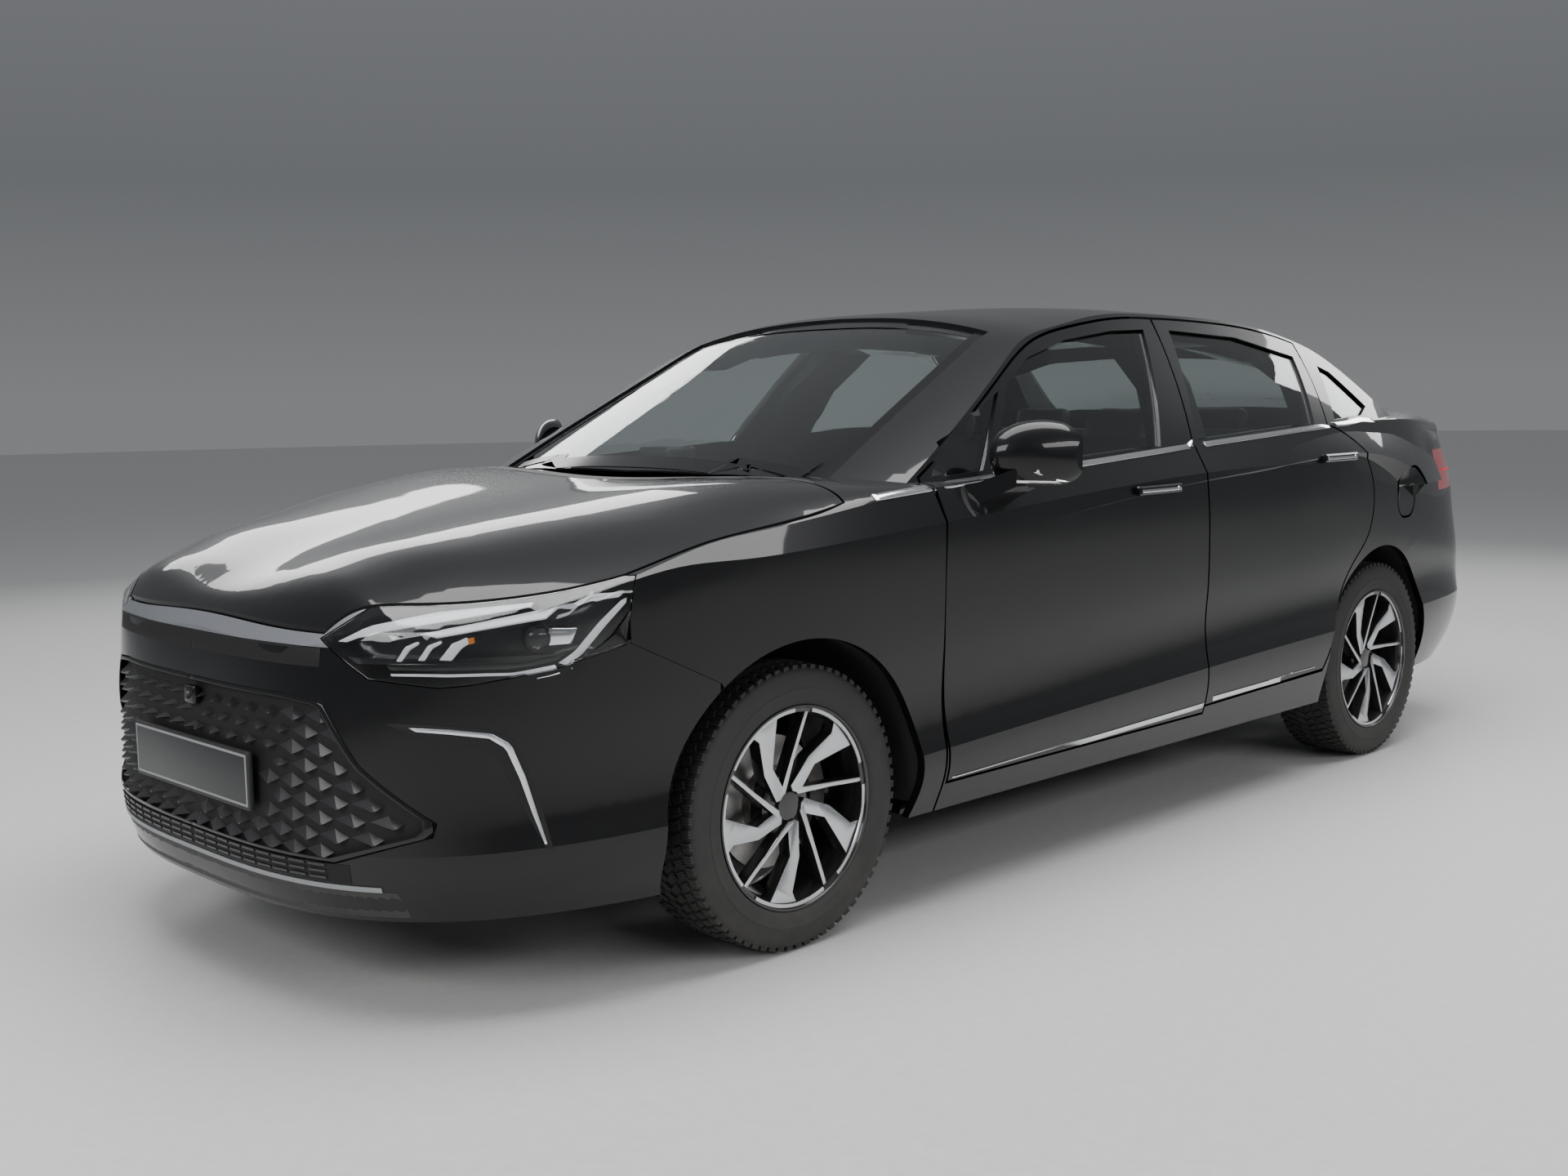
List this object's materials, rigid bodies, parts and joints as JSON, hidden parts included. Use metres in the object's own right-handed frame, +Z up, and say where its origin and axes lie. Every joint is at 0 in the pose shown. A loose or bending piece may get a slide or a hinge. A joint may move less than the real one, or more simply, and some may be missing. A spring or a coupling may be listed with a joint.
{
  "type": "sedan car",
  "caption": "Four-door sedan with steered front wheels, hinged doors, hood, trunk lid and fuel flap, and turning wheels.",
  "frame": {"origin": "on the ground at mid length and mid width of the car", "axes": "+X forward, +Y to the car's left, +Z up"},
  "size_m": [4.6451, 2.09, 1.462],
  "materials": {
    "paint": "gloss",
    "black_plastic": "satin",
    "bright_trim": "satin",
    "lamp_clear": "gloss",
    "lamp_red": "gloss",
    "clear_glass": "gloss",
    "bare_metal": "matte",
    "dark_trim": "matte",
    "seat_cloth": "matte",
    "cast_metal": "matte",
    "tyre": "matte",
    "wheel_metal": "gloss"
  },
  "bodies": {
    "body": {"body_shell": "paint", "front_fenders": "paint", "front_bumper": "paint", "rear_bumper": "paint", "radiator_grille": "black_plastic", "nose_trim": "bright_trim", "headlamps": "lamp_clear", "tail_lamps": "lamp_red", "windscreen": "clear_glass", "rear_window": "clear_glass", "quarter_windows": "clear_glass", "floor_pan": "bare_metal", "wheel_liners": "black_plastic", "cowl_and_wipers": "black_plastic", "dashboard": "dark_trim", "front_seats": "seat_cloth", "rear_bench": "seat_cloth", "front_frame": "paint", "engine_block": "cast_metal", "front_subframe": "bare_metal", "rear_axle": "bare_metal", "fuel_tank": "black_plastic", "exhaust": "bare_metal"},
    "hood": {"hood": "paint"},
    "trunk_lid": {"trunk_lid": "paint"},
    "fuel_flap": {"fuel_flap": "paint"},
    "steering_wheel": {"steering_wheel": "dark_trim"},
    "front_door_left": {"front_door_left": "paint", "front_door_glass_left": "clear_glass", "mirror_left": "paint"},
    "front_door_right": {"front_door_right": "paint", "front_door_glass_right": "clear_glass", "mirror_right": "paint"},
    "rear_door_left": {"rear_door_left": "paint", "rear_door_glass_left": "clear_glass"},
    "rear_door_right": {"rear_door_right": "paint", "rear_door_glass_right": "clear_glass"},
    "knuckle_left": {"knuckle_left": "cast_metal"},
    "knuckle_right": {"knuckle_right": "cast_metal"},
    "wheel_front_left": {"rim_front_left": "wheel_metal", "tyre_front_left": "tyre"},
    "wheel_front_right": {"rim_front_right": "wheel_metal", "tyre_front_right": "tyre"},
    "wheel_rear_left": {"rim_rear_left": "wheel_metal", "tyre_rear_left": "tyre"},
    "wheel_rear_right": {"rim_rear_right": "wheel_metal", "tyre_rear_right": "tyre"}
  },
  "joints": [
    {"name": "front_door_left_hinge", "type": "hinge", "parent": "body", "child": "front_door_left", "pos_m": [0.848, 0.891, 0.6], "axis": [0, 0, -1], "range_deg": [0, 65]},
    {"name": "front_door_right_hinge", "type": "hinge", "parent": "body", "child": "front_door_right", "pos_m": [0.848, -0.891, 0.6], "axis": [0, 0, 1], "range_deg": [0, 65]},
    {"name": "rear_door_left_hinge", "type": "hinge", "parent": "body", "child": "rear_door_left", "pos_m": [-0.263, 0.897, 0.6], "axis": [0, 0, -1], "range_deg": [0, 68]},
    {"name": "rear_door_right_hinge", "type": "hinge", "parent": "body", "child": "rear_door_right", "pos_m": [-0.263, -0.897, 0.6], "axis": [0, 0, 1], "range_deg": [0, 68]},
    {"name": "hood_hinge", "type": "hinge", "parent": "body", "child": "hood", "pos_m": [1.19, 0, 1.008], "axis": [0, -1, 0], "range_deg": [0, 55]},
    {"name": "trunk_lid_hinge", "type": "hinge", "parent": "body", "child": "trunk_lid", "pos_m": [-1.79, 0, 1.126], "axis": [0, 1, 0], "range_deg": [0, 52]},
    {"name": "fuel_flap_hinge", "type": "hinge", "parent": "body", "child": "fuel_flap", "pos_m": [-1.441, 0.872, 0.858], "axis": [0, 0, -1], "range_deg": [0, 40]},
    {"name": "knuckle_left_steer", "type": "hinge", "parent": "body", "child": "knuckle_left", "pos_m": [1.345, 0.7, 0.3185], "axis": [0, 0, 1], "range_deg": [-35, 35]},
    {"name": "knuckle_right_steer", "type": "hinge", "parent": "body", "child": "knuckle_right", "pos_m": [1.345, -0.7, 0.3185], "axis": [0, 0, 1], "range_deg": [-35, 35]},
    {"name": "steering_wheel_turn", "type": "hinge", "parent": "body", "child": "steering_wheel", "pos_m": [0.3838, 0.3804, 0.8597], "axis": [-0.9063, 0, 0.4226], "range_deg": [-490, 490]},
    {"name": "wheel_front_left_spin", "type": "hinge", "parent": "knuckle_left", "child": "wheel_front_left", "pos_m": [1.345, 0.77, 0.3185], "axis": [0, 1, 0], "continuous": true},
    {"name": "wheel_front_right_spin", "type": "hinge", "parent": "knuckle_right", "child": "wheel_front_right", "pos_m": [1.345, -0.77, 0.3185], "axis": [0, 1, 0], "continuous": true},
    {"name": "wheel_rear_left_spin", "type": "hinge", "parent": "body", "child": "wheel_rear_left", "pos_m": [-1.325, 0.77, 0.3185], "axis": [0, 1, 0], "continuous": true},
    {"name": "wheel_rear_right_spin", "type": "hinge", "parent": "body", "child": "wheel_rear_right", "pos_m": [-1.325, -0.77, 0.3185], "axis": [0, 1, 0], "continuous": true}
  ],
  "couplings": [
    {"joint": "knuckle_right_steer", "follows": "knuckle_left_steer", "ratio": 1},
    {"joint": "steering_wheel_turn", "follows": "knuckle_left_steer", "ratio": 14}
  ]
}
